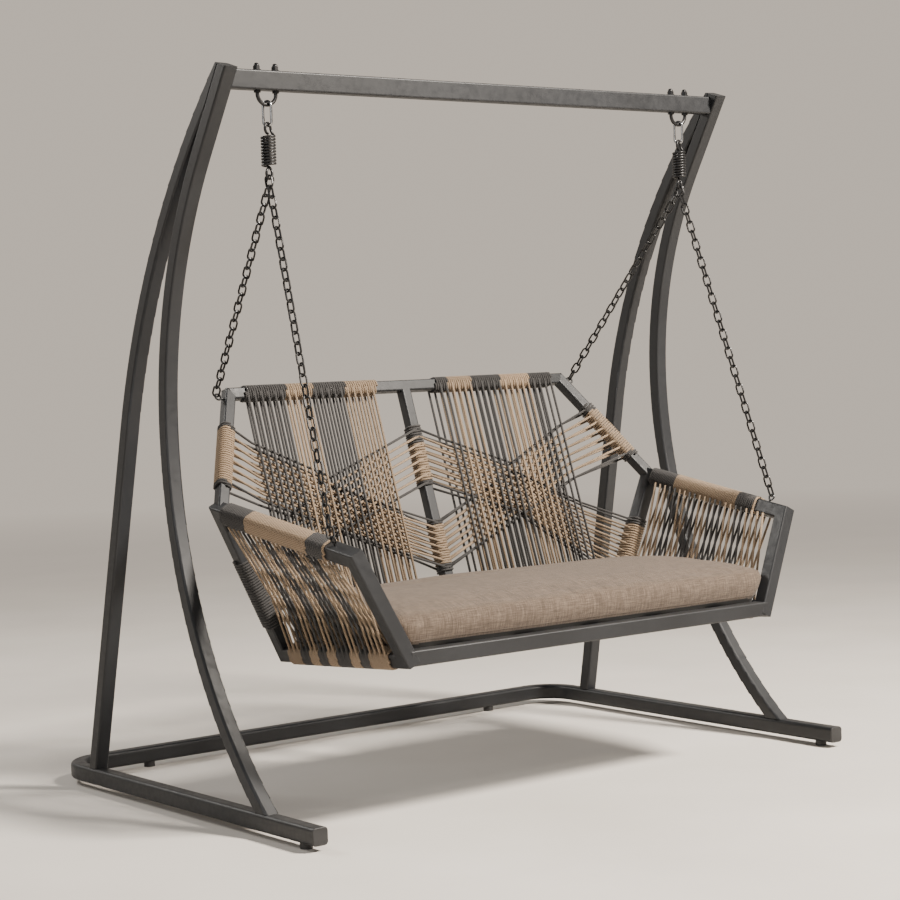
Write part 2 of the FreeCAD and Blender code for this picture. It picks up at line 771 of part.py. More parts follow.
def make_seat_frame():
    """Tubes of the seat; returns the right-hand solids that the cord work is cut against."""
    loop = (front_corner, arm_front, arm_rear, rear_corner)
    names = ("arm_front_leg", "arm", "side_rear_leg", "seat_side_rail")
    headings = [unit(loop[(k + 1) % 4] - loop[k]) for k in range(4)]
    solids = {}
    for k, name in enumerate(names):
        start, end = loop[k], loop[(k + 1) % 4]
        solid = mitred(start, end, side_normal, seat_tube, headings[k - 1], headings[(k + 1) % 4])
        solids[name] = solid
        piece = hollow(solid, start, end, side_normal, seat_tube)
        for side in SIDES:
            export(name + "_" + side_name(side), [flipped(piece, side)])
    frame_blocks = [flipped(solid, side) for solid in solids.values() for side in SIDES]
    for name, corner in (("seat_front_rail", front_corner), ("seat_rear_rail", rear_corner)):
        other = mirrored(corner, -1)
        solid = bar(other, corner, Z_AXIS, seat_tube, seat_corner)
        piece = hollow(solid, other, corner, Z_AXIS, seat_tube).cut(frame_blocks)
        solids[name] = solid
        export(name, [largest(piece)])
    other = mirrored(back_corner, -1)
    rising = unit(other - mirrored(arm_rear, -1))
    top = mitred(other, back_corner, back_normal, back_tube, rising, post_heading)
    solids["back_top_rail"] = top
    export("back_top_rail", [hollow(top, other, back_corner, back_normal, back_tube)])
    post = mitred(back_corner, arm_rear, back_normal, back_tube, X_AXIS, None)
    post = post.cut([solids["arm"], solids["side_rear_leg"]])
    post = largest(post)
    solids["back_post"] = post
    piece = hollow(post, back_corner, arm_rear, back_normal, back_tube)
    for side in SIDES:
        export("back_post_" + side_name(side), [flipped(piece, side)])
    centre = bar(rear_rail_mid, top_rail_mid, X_AXIS, back_tube, seat_corner)
    centre = centre.cut([top, solids["seat_rear_rail"]])
    solids["back_centre_post"] = largest(centre)
    piece = hollow(centre, rear_rail_mid, top_rail_mid, X_AXIS, back_tube)
    export("back_centre_post", [largest(piece)])
    solids["slats"] = make_slats(solids)
    return solids


def make_slats(solids):
    """Flat slats under the cushion, set between the front and rear rails flush with their tops."""
    slats = []
    cutters = [solids[name] for name in ("seat_front_rail", "seat_rear_rail", "back_centre_post")]
    lift = Z_AXIS * ((seat_tube - slat_thickness) / 2)
    for k in range(slat_count):
        share = 2 * k / (slat_count - 1) - 1
        place = X_AXIS * (share * slat_reach_share * rear_corner.x)
        start = front_rail_mid + place + lift
        end = rear_rail_mid + place + lift
        heading = unit(end - start)
        section = Part.Face(rounded_section(slat_width, slat_thickness, slat_corner))
        slat = section.extrude(V(0, 0, (end - start).Length))
        slat = placed(slat, start, X_AXIS, heading)
        slats.append(largest(slat.cut(cutters)))
    export("seat_slats", slats)
    return slats


def make_eyes_and_chains():
    """Eye bolts on the arms and the back's top corners, and the four chains that hang on them."""
    eyes = []
    front_seat = arm_front + arm_heading * (front_eye_setback / arm_heading.y) + arm_up * (seat_tube / 2)
    rear_seat = back_corner + post_heading * rear_eye_drop + post_outward * (back_tube / 2)
    spread = (chain_wire + chain_side_gap) / 2
    places = (
        ("front", front_seat, arm_up, arm_heading, -spread),
        ("rear", rear_seat, post_outward, post_heading, spread),
    )
    for name, seat, rise, along, offset in places:
        for side in SIDES:
            base = mirrored(seat, side)
            up = mirrored(rise, side)
            centre = base + up * (eye_shank + eye_wire / 2 + eye_radius)
            rod_heading = mirrored(along, side)
            axis = up.cross(rod_heading)
            ring = Part.Face(six_sided(eye_wire, centre + up * eye_radius, rod_heading, up))
            ring = ring.revolve(centre, axis, 360)
            shank = Part.makeCylinder(eye_wire / 2, eye_shank + eye_wire / 2, base, up)
            eyes.append(ring.fuse(shank))
            top = hanger_origin(side) + loop_axis * offset + Z_AXIS * chain_top_z
            pull = square_to(top - centre, axis)
            bottom = centre + pull * eye_radius
            make_chain("chain_" + name + "_" + side_name(side), top, bottom, axis.cross(pull))
    export("chain_eyes", eyes)


# Cord work: wraps round a tube, and taut strands from one tube to another
panel_outer_x = back_corner.x - panel_edge_gap
cord_pitch = (panel_outer_x - panel_inner_x) / sum(count for colour, count in left_back_groups)
strand_layers = ((1, near_layer_share), (-1, far_layer_share))


def wrap(start, end, across, size, first, last):
    """Sleeve of close turns round a tube, between two shares of its length."""
    a = between(start, end, first)
    b = between(start, end, last)
    outer = bar(a, b, across, size + 2 * cord, seat_corner + cord)
    return outer.cut(bar(a, b, across, size, seat_corner))


def strand(start, end):
    """Six-sided length of taut cord."""
    direction = unit(end - start)
    helper = X_AXIS if abs(direction.x) < abs(direction.z) else Z_AXIS
    return Part.Face(six_sided(cord, start, direction, helper)).extrude(end - start)


def one_solid(pieces, cutters):
    joined = pieces[0].fuse(pieces[1:])
    joined = joined.cut(cutters)
    return largest(joined)


def make_back_cords(solids):
    """Upright cords of the two back panels, wound over the top rail and the rear rail in two layers."""
    groups_by_side = {-1: left_back_groups, 1: right_back_groups}
    top_offset = (back_tube + cord) / 2
    low_offset = (seat_tube + cord) / 2
    made = {"dark": [], "beige": []}
    rails = [solids["back_top_rail"], solids["seat_rear_rail"]] + solids["slats"]
    for side in SIDES:
        x = panel_outer_x
        for colour, count in groups_by_side[side]:
            inner_x = x - count * cord_pitch
            first = X_AXIS * (side * x)
            last = X_AXIS * (side * inner_x)
            pieces = [wrap(top_rail_mid + first, top_rail_mid + last, back_normal, back_tube, 0, 1)]
            pieces.append(wrap(rear_rail_mid + first, rear_rail_mid + last, Z_AXIS, seat_tube, 0, 1))
            for k in range(count):
                for layer, shift in strand_layers:
                    place = X_AXIS * (side * (x - (k + shift) * cord_pitch))
                    high = place + top_rail_mid + back_normal * (layer * top_offset)
                    low = place + rear_rail_mid + Y_AXIS * (-layer * low_offset)
                    pieces.append(strand(high, low))
            made[colour].append(one_solid(pieces, rails))
            x = inner_x
    for colour in made:
        export("back_cords_" + colour, made[colour])


def band_point(start, end, shares, share):
    """Place of one cord of a band on a line, the band lying between two shares of the line."""
    return between(start, end, shares[0] + (shares[1] - shares[0]) * share)


def make_cross_cords(solids):
    """Cords that cross the back panels from the outer frame to the centre post, in two bands.

    Each band has a wrap with its cords on either outer frame tube, and one flat part between the
    panels' outer edges that goes round the centre post.
    """
    edge_x = panel_outer_x + cord_pitch / 2
    mid_x = (panel_inner_x + panel_outer_x) / 2
    high = top_rail_mid
    low = rear_rail_mid
    bands = (
        ("upper", back_corner, arm_rear, back_normal, back_tube, upper_post_shares,
         upper_centre_shares, upper_mid_shares, 1),
        ("lower", arm_rear, rear_corner, side_normal, seat_tube, lower_leg_shares,
         lower_centre_shares, lower_mid_shares, -1),
    )
    cutters = [solids[name] for name in ("back_post", "side_rear_leg", "arm", "back_centre_post")]
    for name, start, end, across, size, outer_shares, centre_shares, mid_shares, layer in bands:
        shift = back_normal * (layer * band_layer_offset)
        outer_pieces = [wrap(start, end, across, size, *outer_shares)]
        inner_pieces = []
        for k in range(band_cords):
            share = (k + 0.5) / band_cords
            outer = band_point(start, end, outer_shares, share)
            middle = band_point(high, low, mid_shares, share) + X_AXIS * mid_x + shift
            inner = band_point(high, low, centre_shares, share) + shift
            edge_z = outer.z + (middle.z - outer.z) * (outer.x - edge_x) / (outer.x - mid_x)
            edge = low + back_heading * ((edge_z - low.z) / back_heading.z) + X_AXIS * edge_x + shift
            outer_pieces.append(strand(outer, edge + unit(edge - outer) * cord))
            inner_pieces.append(strand(edge - unit(middle - edge) * cord, middle))
            inner_pieces.append(strand(middle, inner))
        outer_part = one_solid(outer_pieces, cutters + [beyond(X_AXIS * edge_x, X_AXIS * -1)])
        flat = [wrap(high, low, X_AXIS, back_tube, *centre_shares)]
        flat += [flipped(piece, side) for piece in inner_pieces for side in SIDES]
        ends_cut = [beyond(X_AXIS * (side * edge_x), X_AXIS * side) for side in SIDES]
        flat_part = one_solid(flat, [solids["back_centre_post"]] + ends_cut)
        export("cross_cords_" + name, [flat_part] + [flipped(outer_part, side) for side in SIDES])


def make_side_cords(solids):
    """Side panels: cords that cross from the outside of the arm to the inside of the side rail and back."""
    made = {"dark": [], "beige": []}
    wraps = {"dark": [], "beige": []}
    share, last_share = side_panel_shares
    pitch_share = (last_share - share) / sum(count for colour, count in side_groups)
    offset = (seat_tube + cord) / 2
    arm_blocks = [bar(arm_rear, arm_front, side_normal, seat_tube + 2 * cord, seat_corner + cord)]
    for colour, first, last in arm_wrap_shares:
        wraps[colour].append(wrap(arm_rear, arm_front, side_normal, seat_tube, first, last))
    for colour, count in side_groups:
        last = share + count * pitch_share
        pieces = [wrap(rear_corner, front_corner, side_normal, seat_tube, share, last)]
        for k in range(count):
            for layer, shift in strand_layers:
                at = share + (k + shift) * pitch_share
                high = between(arm_rear, arm_front, at) + side_normal * (layer * offset)
                low = between(rear_corner, front_corner, at) - side_normal * (layer * offset)
                pieces.append(strand(high, low))
        made[colour].append(one_solid(pieces, arm_blocks + [solids["seat_side_rail"]]))
        share = last
    for colour in made:
        for kind, group in (("side_cords_", made), ("arm_wraps_", wraps)):
            export(kind + colour, [flipped(solid, side) for solid in group[colour] for side in SIDES])


# Cushion

def make_cushion():
    """One bench cushion, thicker at the rear, with a crowned top and ends that slant like the side panels."""
    run = rear_rail_mid - front_rail_mid
    slope = unit(run)
    rise = X_AXIS.cross(slope)
    front = front_rail_mid + Z_AXIS * (seat_tube / 2) + rise * cushion_lift - slope * cushion_front_lap
    depth = run.Length + cushion_front_lap - cushion_rear_gap
    front_half = front_corner.x - cushion_front_side_gap
    rear_half = rear_corner.x - cushion_rear_side_gap
    end_slant = front_leg_splay / front_leg_rise
    sections = []
    shares = cushion_end_shares + tuple((-a, b, c, d) for a, b, c, d in reversed(cushion_end_shares[:-1]))
    for side_share, low_share, top_share, depth_share in shares:
        inset = depth * (1 - depth_share) / 2
        bulge = cushion_bulge * depth_share
        front_low, front_top = cushion_front_thickness * low_share, cushion_front_thickness * top_share
        rear_low, rear_top = cushion_rear_thickness * low_share, cushion_rear_thickness * top_share
        crown_top = (front_top + rear_top) / 2 + cushion_crown * top_share

        def at(along, up):
            half = front_half + (rear_half - front_half) * along / depth + up * end_slant
            return front + slope * along + rise * up + X_AXIS * (side_share * half)

        low_front = at(inset + cushion_front_lap + cushion_low_setback, front_low)
        low_rear = at(depth - inset - bulge, rear_low)
        top_front, top_rear = at(inset + bulge, front_top), at(depth - inset - bulge, rear_top)
        sections.append(Part.Wire([
            line_edge(low_front, low_rear),
            arc_edge(low_rear, at(depth - inset, (rear_low + rear_top) / 2), top_rear),
            arc_edge(top_rear, at(depth / 2, crown_top), top_front),
            arc_edge(top_front, at(inset, (front_low + front_top) / 2), low_front),
        ]))
    export("seat_cushion", [Part.makeLoft(sections, True, True)])


os.makedirs("parts", exist_ok=True)
make_base()
make_posts()
make_beam()
make_u_bolts()
make_hooks()
make_springs()
seat_solids = make_seat_frame()
make_eyes_and_chains()
make_back_cords(seat_solids)
make_cross_cords(seat_solids)
make_side_cords(seat_solids)
make_cushion()
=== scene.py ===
import json
import math
import random

import bmesh
import bpy
import numpy as np
from mathutils import Matrix, Vector
from mathutils.bvhtree import BVHTree
from mathutils.noise import noise as noise_at


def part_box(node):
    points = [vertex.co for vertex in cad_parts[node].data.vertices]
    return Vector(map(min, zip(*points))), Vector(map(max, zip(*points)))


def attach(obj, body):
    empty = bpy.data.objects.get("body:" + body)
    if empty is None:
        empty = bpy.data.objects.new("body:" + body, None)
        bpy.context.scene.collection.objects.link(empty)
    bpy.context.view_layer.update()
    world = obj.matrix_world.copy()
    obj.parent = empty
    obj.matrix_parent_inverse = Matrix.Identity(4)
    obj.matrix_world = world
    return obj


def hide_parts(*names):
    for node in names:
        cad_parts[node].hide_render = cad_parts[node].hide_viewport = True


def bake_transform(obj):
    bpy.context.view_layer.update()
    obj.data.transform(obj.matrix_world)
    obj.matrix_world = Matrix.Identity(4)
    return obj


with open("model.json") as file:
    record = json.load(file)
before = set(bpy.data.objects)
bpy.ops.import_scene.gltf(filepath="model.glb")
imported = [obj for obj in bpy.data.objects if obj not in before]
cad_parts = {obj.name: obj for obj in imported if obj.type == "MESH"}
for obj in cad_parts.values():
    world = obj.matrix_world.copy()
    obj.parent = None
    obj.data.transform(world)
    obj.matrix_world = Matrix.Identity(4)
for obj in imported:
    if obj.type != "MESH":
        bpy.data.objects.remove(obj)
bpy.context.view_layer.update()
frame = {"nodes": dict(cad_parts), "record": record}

# Looks of a two-place garden swing. Lengths are in metres, in the frame of the CAD model:
# +Z is up, the front faces -Y and +X is the right side seen from the front.

SEED = 7

# Camera of the photograph
CAMERA_PLACE = Vector((-3.8813, -4.9897, 1.2162))
CAMERA_YAW = 0.6636
CAMERA_PITCH = -0.0492
CAMERA_ROLL = -0.0315
CAMERA_LENS = 88.36
CAMERA_SENSOR = 36.0

# Seat frame: places where the centre lines of its tubes meet, on the right-hand side
FRONT_CORNER = Vector((0.629, -0.633, 0.435))
ARM_FRONT = Vector((0.756, -0.603, 0.693))
ARM_REAR = Vector((0.774, -0.025, 0.785))
REAR_CORNER = Vector((0.592, -0.040, 0.392))
BACK_CORNER = Vector((0.601, 0.190, 1.088))
SEAT_TUBE = 0.040
BACK_TUBE = 0.032

# Cord work; shares are parts of a tube's length, shifts are parts of the pitch of the strands
CORD = 0.007
TURN_PITCH = 0.0075
WRAP_CORNER = 0.012
PANEL_INNER_X = 0.107
PANEL_OUTER_X = 0.557
LEFT_BACK_GROUPS = (("dark", 6), ("beige", 4), ("dark", 5), ("beige", 5))
RIGHT_BACK_GROUPS = (("dark", 4), ("beige", 5), ("dark", 5), ("beige", 4), ("dark", 2))
SIDE_GROUPS = (
    ("beige", 3),
    ("dark", 2),
    ("beige", 2),
    ("dark", 2),
    ("beige", 2),
    ("dark", 3),
    ("beige", 2),
    ("dark", 2),
    ("beige", 4),
)
SIDE_SHARES = (0.085, 0.915)
SIDE_LAYERS = ((1, 0.25), (-1, 0.75))
SIDE_BENDS = (0.3, 0.7)
ARM_WRAPS = (("dark", 0.05, 0.24), ("beige", 0.24, 0.70), ("dark", 0.70, 0.82), ("beige", 0.82, 0.833))
BAND_CORDS = 8
UPPER_POST_SHARES = (0.29, 0.81)
UPPER_CENTRE_SHARES = (0.17, 0.42)
UPPER_MID_SHARES = (0.34, 0.58)
LOWER_LEG_SHARES = (0.33, 0.80)
LOWER_CENTRE_SHARES = (0.56, 0.77)
LOWER_MID_SHARES = (0.37, 0.58)
CENTRE_WRAPS = {
    "upper": (("dark", 0.0, 0.3), ("beige", 0.3, 0.92), ("dark", 0.92, 1.0)),
    "lower": (("dark", 0.0, 0.1), ("beige", 0.1, 0.86), ("dark", 0.86, 1.0)),
}
OUTER_WRAPS = {
    ("upper", -1): (("dark", 0.0, 0.07), ("beige", 0.07, 0.93), ("dark", 0.93, 1.0)),
    ("upper", 1): (("dark", 0.0, 0.12), ("beige", 0.12, 0.93), ("dark", 0.93, 1.0)),
    ("lower", -1): (("dark", 0.0, 1.0),),
    ("lower", 1): (("dark", 0.0, 0.12), ("beige", 0.12, 0.8), ("dark", 0.8, 1.0)),
}
LAYER_GAP = 0.0071
CENTRE_GAP = 0.001
FRONT_SHIFT = 0.25
REAR_SHIFT = 1.04
CORD_SIDES = 6
TONE_RANGE = (0.2, 0.9)
TURN_WANDER = 0.05
BACK_SEEDS = {"beige": SEED, "dark": SEED + 1}
BAND_SEED = SEED + 13
STRAND_SEEDS = {"beige": SEED + 20, "dark": SEED + 21}
WRAP_SEEDS = {"beige": SEED + 30, "dark": SEED + 31}

# Springs
SPRING_PIVOT_Y = -0.241
SPRING_X = 0.727
SPRING_TURN = math.radians(25)
SPRING_WIRE = 0.007
SPRING_RADIUS = 0.0165
SPRING_PITCH = 0.0077
SPRING_TURNS = 10
SPRING_LOOP_RADIUS = 0.0135
SPRING_UPPER_LOOP_Z = 1.7742
SPRING_COIL_TOP_Z = 1.7552
SPRING_LOWER_LOOP_Z = 1.6592
SPRING_SIDES = 10
SPRING_STEP_ANGLE = 10
SPRING_LOOP_ANGLE = 270
SPRING_BEND_ANGLE = 50
SPRING_BEND_STEPS = 10
SPRING_BEND_SHARE = 0.36

# Cushion; a zone is the start and the length of an eased rise
CUSHION_WELD = 0.0002
CUSHION_VOXEL = 0.010
CUSHION_SMOOTHING = 6
CUSHION_INSET = 0.004
CUSHION_PRESSURE = 4.0
CUSHION_FRAMES = 20
CUSHION_SWELL = 0.010
CUSHION_CLEARANCE = 0.0005
LOWER_ZONE = (0.0, 0.05)
UPPER_ZONE = (0.06, 0.04)
END_STRETCH = 0.034
STRETCH_ZONE = (0.3, 0.3)
SLAT_COUNT = 5
SLAT_WIDTH = 0.060
SAG_DEPTH = 0.010
SAG_ZONE = (0.01, 0.05)
SAG_FRONT_ZONE = (-0.612, 0.01)
LIP_DROP = 0.018
LIP_ZONE = (0.56, 0.045)
END_DROP = 0.010
END_ZONE = (0.565, 0.04)
HOLLOW_DEPTH = 0.006
HOLLOW_SCALE_X = 2.6
HOLLOW_SCALE_Y = 3.4
HOLLOW_LEVEL = 1.7
CREASE_DEPTH = 0.004
CREASE_WIDTH = 0.035
CREASE_Y = -0.22
CREASE_WAVE = 0.02
CREASE_WAVE_RATE = 4
PUCKER_DEPTH = 0.0016
PUCKER_WIDTH = 0.016
PUCKER_SCALE = 34
PUCKER_SCALE_Z = 9
# Faces under these limits get the near-black underside cloth: partly a dark underside fabric, partly painted
# shade under the cushion.
UNDERSIDE_SHADE_HEIGHT = 0.012
UNDERSIDE_SHADE_FACING = -0.5
SEAM_HEIGHTS = ((0.541, 0.541), (0.474, 0.436))
SEAM_STEPS = 720
SEAM_SIDES = 6
SEAM_WIDTH = 0.0022
SEAM_SINK = 0.0004
SEAM_AIM_SHARE = 0.9

# Fine pattern of the materials, and the tone of pieces that aren't cord work
BRAID_PITCH = 0.0058
BRAID_STARTS = 3
YARN_PITCH = 0.0022
PLAIN_TONE = 0.5

# Studio; each light has a name, a place, a diameter, a power and a colour
BACKDROP = (0.64, 0.565, 0.485)
OVERHEAD = (0.10, 0.10, 0.105)
SKY_FADE = (0.2, 0.6)
FLOOR_HALF = 40.0
FLOOR_FADE = (2.5, 11.0)
LIGHT_TARGET = Vector((0, -0.2, 0.8))
LIGHTS = (
    ("key", Vector((2.0, -4.0, 5.0)), 1.1, 1300, (1.0, 0.92, 0.82)),
    ("fill", Vector((-4.6, -2.6, 2.4)), 3.0, 40, (0.93, 0.97, 1.0)),
    ("rim", Vector((-2.4, 3.8, 4.2)), 2.0, 170, (1.0, 0.96, 0.90)),
)

SIDES = (-1, 1)
X_AXIS = Vector((1, 0, 0))
Y_AXIS = Vector((0, 1, 0))
Z_AXIS = Vector((0, 0, 1))


def mirrored(point, side):
    return Vector((point.x * side, point.y, point.z))


def square_to(vector, direction):
    """Part of a vector that is square to a direction, at unit length."""
    return (vector - direction * vector.dot(direction)).normalized()


def smooth_step(value, zone):
    """Eased rise from 0 to 1 over a zone."""
    start, length = zone
    value = min(1.0, max(0.0, (value - start) / length))
    return value * value * (3 - 2 * value)


def add_object(name, data):
    made = bpy.data.objects.new(name, data)
    bpy.context.scene.collection.objects.link(made)
    return made


TOP_MID = Vector((0, BACK_CORNER.y, BACK_CORNER.z))
LOW_MID = Vector((0, REAR_CORNER.y, REAR_CORNER.z))
BACK_HEADING = (TOP_MID - LOW_MID).normalized()
BACK_NORMAL = X_AXIS.cross(BACK_HEADING)
SIDE_NORMAL = (ARM_FRONT - FRONT_CORNER).cross(REAR_CORNER - FRONT_CORNER).normalized() * -1
BACK_PITCH = (PANEL_OUTER_X - PANEL_INNER_X) / sum(count for colour, count in LEFT_BACK_GROUPS)
PANEL_MID_X = (PANEL_INNER_X + PANEL_OUTER_X) / 2
PANEL_EDGE_X = PANEL_OUTER_X + BACK_PITCH / 2


# Materials

def new_material(name):
    material = bpy.data.materials.new(name)
    material.use_nodes = True
    return material, material.node_tree, material.node_tree.nodes["Principled BSDF"]


def feed(tree, socket, value):
    """Link another node's socket to an input, or set the input to a constant."""
    if isinstance(value, bpy.types.NodeSocket):
        tree.links.new(value, socket)
    else:
        socket.default_value = value


def add_node(tree, kind, **inputs):
    node = tree.nodes.new(kind)
    for name, value in inputs.items():
        feed(tree, node.inputs[name], value)
    return node


def math_node(tree, operation, *values):
    node = tree.nodes.new("ShaderNodeMath")
    node.operation = operation
    for socket, value in zip(node.inputs, values):
        feed(tree, socket, value)
    return node.outputs[0]


def object_place(tree):
    return tree.nodes.new("ShaderNodeTexCoord").outputs["Object"]


def stretched(tree, place, scale):
    return add_node(tree, "ShaderNodeMapping", Vector=place, Scale=scale).outputs["Vector"]


def noise(tree, place, scale, detail=3.0, roughness=0.5):
    node = add_node(tree, "ShaderNodeTexNoise", Vector=place, Scale=scale, Detail=detail, Roughness=roughness)
    return node.outputs["Fac"]


def ramp(tree, factor, *stops):
    """Colour ramp through (place, colour) stops."""
    node = tree.nodes.new("ShaderNodeValToRGB")
    elements = node.color_ramp.elements
    while len(elements) < len(stops):
        elements.new(0.5)
    for element, (place, colour) in zip(elements, stops):
        element.position = place
        element.color = (*colour, 1)
    tree.links.new(factor, node.inputs["Fac"])
    return node.outputs["Color"]


def spread(tree, value, low, high, out_low, out_high):
    node = add_node(tree, "ShaderNodeMapRange", Value=value)
    for name, number in (("From Min", low), ("From Max", high), ("To Min", out_low), ("To Max", out_high)):
        node.inputs[name].default_value = number
    return node.outputs["Result"]


def mixed(tree, factor, first, second, blend="MIX"):
    node = tree.nodes.new("ShaderNodeMix")
    node.data_type = "RGBA"
    node.blend_type = blend
    feed(tree, node.inputs[0], factor)
    for socket, value in ((node.inputs[6], first), (node.inputs[7], second)):
        feed(tree, socket, value if isinstance(value, bpy.types.NodeSocket) else (*value, 1))
    return node.outputs[2]


def bump(tree, height, strength, distance):
    node = add_node(tree, "ShaderNodeBump", Height=height, Strength=strength, Distance=distance)
    return node.outputs["Normal"]


def powder_coat():
    """Anthracite powder coat: fine orange peel, faint tone changes and a little dust on top faces."""
    material, tree, shader = new_material("powder_coat_anthracite")
    place = object_place(tree)
    tone = noise(tree, place, 5.0, 4.0)
    colour = ramp(tree, tone, (0.3, (0.0104, 0.0114, 0.0134)), (0.7, (0.0160, 0.0174, 0.0202)))
    facing = tree.nodes.new("ShaderNodeSeparateXYZ")
    tree.links.new(tree.nodes.new("ShaderNodeNewGeometry").outputs["Normal"], facing.inputs[0])
    dusty = spread(tree, facing.outputs["Z"], 0.7, 1.0, 0.0, 0.12)
    patches = spread(tree, noise(tree, place, 22.0, 6.0, 0.6), 0.35, 0.7, 0.25, 1.0)
    dusty = math_node(tree, "MULTIPLY", dusty, patches)
    tree.links.new(mixed(tree, dusty, colour, (0.19, 0.18, 0.165)), shader.inputs["Base Color"])
    shader.inputs["Specular IOR Level"].default_value = 0.4
    peel = noise(tree, place, 850.0, 2.0)
    rough = spread(tree, noise(tree, place, 60.0, 4.0), 0.3, 0.7, 0.40, 0.54)
    tree.links.new(rough, shader.inputs["Roughness"])
    tree.links.new(bump(tree, peel, 0.22, 0.0004), shader.inputs["Normal"])
    return material


def black_steel():
    """Black coated steel of the chains, springs and bolts, rubbed a little brighter in places."""
    material, tree, shader = new_material("steel_black_coated")
    place = object_place(tree)
    rub = spread(tree, noise(tree, place, 90.0, 5.0, 0.65), 0.55, 0.75, 0.0, 1.0)
    colour = mixed(tree, rub, (0.010, 0.010, 0.011), (0.034, 0.033, 0.032))
    tree.links.new(colour, shader.inputs["Base Color"])
    shader.inputs["Metallic"].default_value = 0.35
    rough = spread(tree, noise(tree, place, 240.0, 3.0), 0.3, 0.7, 0.28, 0.46)
    tree.links.new(rough, shader.inputs["Roughness"])
    tree.links.new(bump(tree, noise(tree, place, 1400.0, 2.0), 0.15, 0.0002), shader.inputs["Normal"])
    return material


def zinc_steel():
    """Zinc plate with a faint brushed grain and spangle."""
    material, tree, shader = new_material("steel_zinc")
    place = object_place(tree)
    spangle = noise(tree, place, 160.0, 4.0, 0.6)
    colour = ramp(tree, spangle, (0.3, (0.235, 0.24, 0.25)), (0.7, (0.40, 0.405, 0.415)))
    tree.links.new(colour, shader.inputs["Base Color"])
    shader.inputs["Metallic"].default_value = 1.0
    grain = noise(tree, stretched(tree, place, (900.0, 900.0, 120.0)), 1.0, 3.0)
    tree.links.new(spread(tree, grain, 0.3, 0.7, 0.14, 0.30), shader.inputs["Roughness"])
    tree.links.new(bump(tree, grain, 0.10, 0.0002), shader.inputs["Normal"])
    return material


def black_plastic():
    """Moulded black plastic of the glides and end caps."""
    material, tree, shader = new_material("plastic_black")
    place = object_place(tree)
    tone = noise(tree, place, 30.0, 3.0)
    colour = ramp(tree, tone, (0.3, (0.014, 0.014, 0.015)), (0.7, (0.026, 0.026, 0.027)))
    tree.links.new(colour, shader.inputs["Base Color"])
    rough = spread(tree, noise(tree, place, 500.0, 2.0), 0.3, 0.7, 0.45, 0.62)
    tree.links.new(rough, shader.inputs["Roughness"])
    tree.links.new(bump(tree, noise(tree, place, 1800.0, 2.0), 0.25, 0.0002), shader.inputs["Normal"])
    return material


def braided_cord(name, shade, light, fleck):
    """Round braided outdoor cord: crossing diagonal strands with painted shade in the grooves and a painted
    highlight on the crests, a tone of its own for each length of cord.
    """
    material, tree, shader = new_material(name)
    place = object_place(tree)
    along = tree.nodes.new("ShaderNodeSeparateXYZ")
    tree.links.new(tree.nodes.new("ShaderNodeTexCoord").outputs["UV"], along.inputs[0])
    run = math_node(tree, "MULTIPLY", along.outputs["X"], 2 * math.pi / BRAID_PITCH)
    turn = math_node(tree, "MULTIPLY", along.outputs["Y"], 2 * math.pi * BRAID_STARTS)
    one_way = math_node(tree, "SINE", math_node(tree, "ADD", run, turn))
    other_way = math_node(tree, "SINE", math_node(tree, "SUBTRACT", run, turn))
    braid = spread(tree, math_node(tree, "MAXIMUM", one_way, other_way), -0.6, 1.0, 0.0, 1.0)
    # Colour runs from painted shade in the braid's grooves to a painted highlight on its crests.
    colour = mixed(tree, braid, shade, light)
    flecks = spread(tree, noise(tree, place, 420.0, 3.0, 0.7), 0.52, 0.72, 0.0, 0.55)
    colour = mixed(tree, flecks, colour, fleck)
    own = tree.nodes.new("ShaderNodeAttribute")
    own.attribute_name = "tone"
    tone = spread(tree, own.outputs["Fac"], 0.0, 1.0, 0.72, 1.12)
    grey = tree.nodes.new("ShaderNodeCombineColor")
    for socket in grey.inputs:
        tree.links.new(tone, socket)
    colour = mixed(tree, 1.0, colour, grey.outputs["Color"], "MULTIPLY")
    tree.links.new(colour, shader.inputs["Base Color"])
    shader.inputs["Roughness"].default_value = 0.82
    shader.inputs["Sheen Weight"].default_value = 0.08
    shader.inputs["Sheen Roughness"].default_value = 0.45
    tree.links.new(bump(tree, braid, 0.7, 0.0007), shader.inputs["Normal"])
    return material


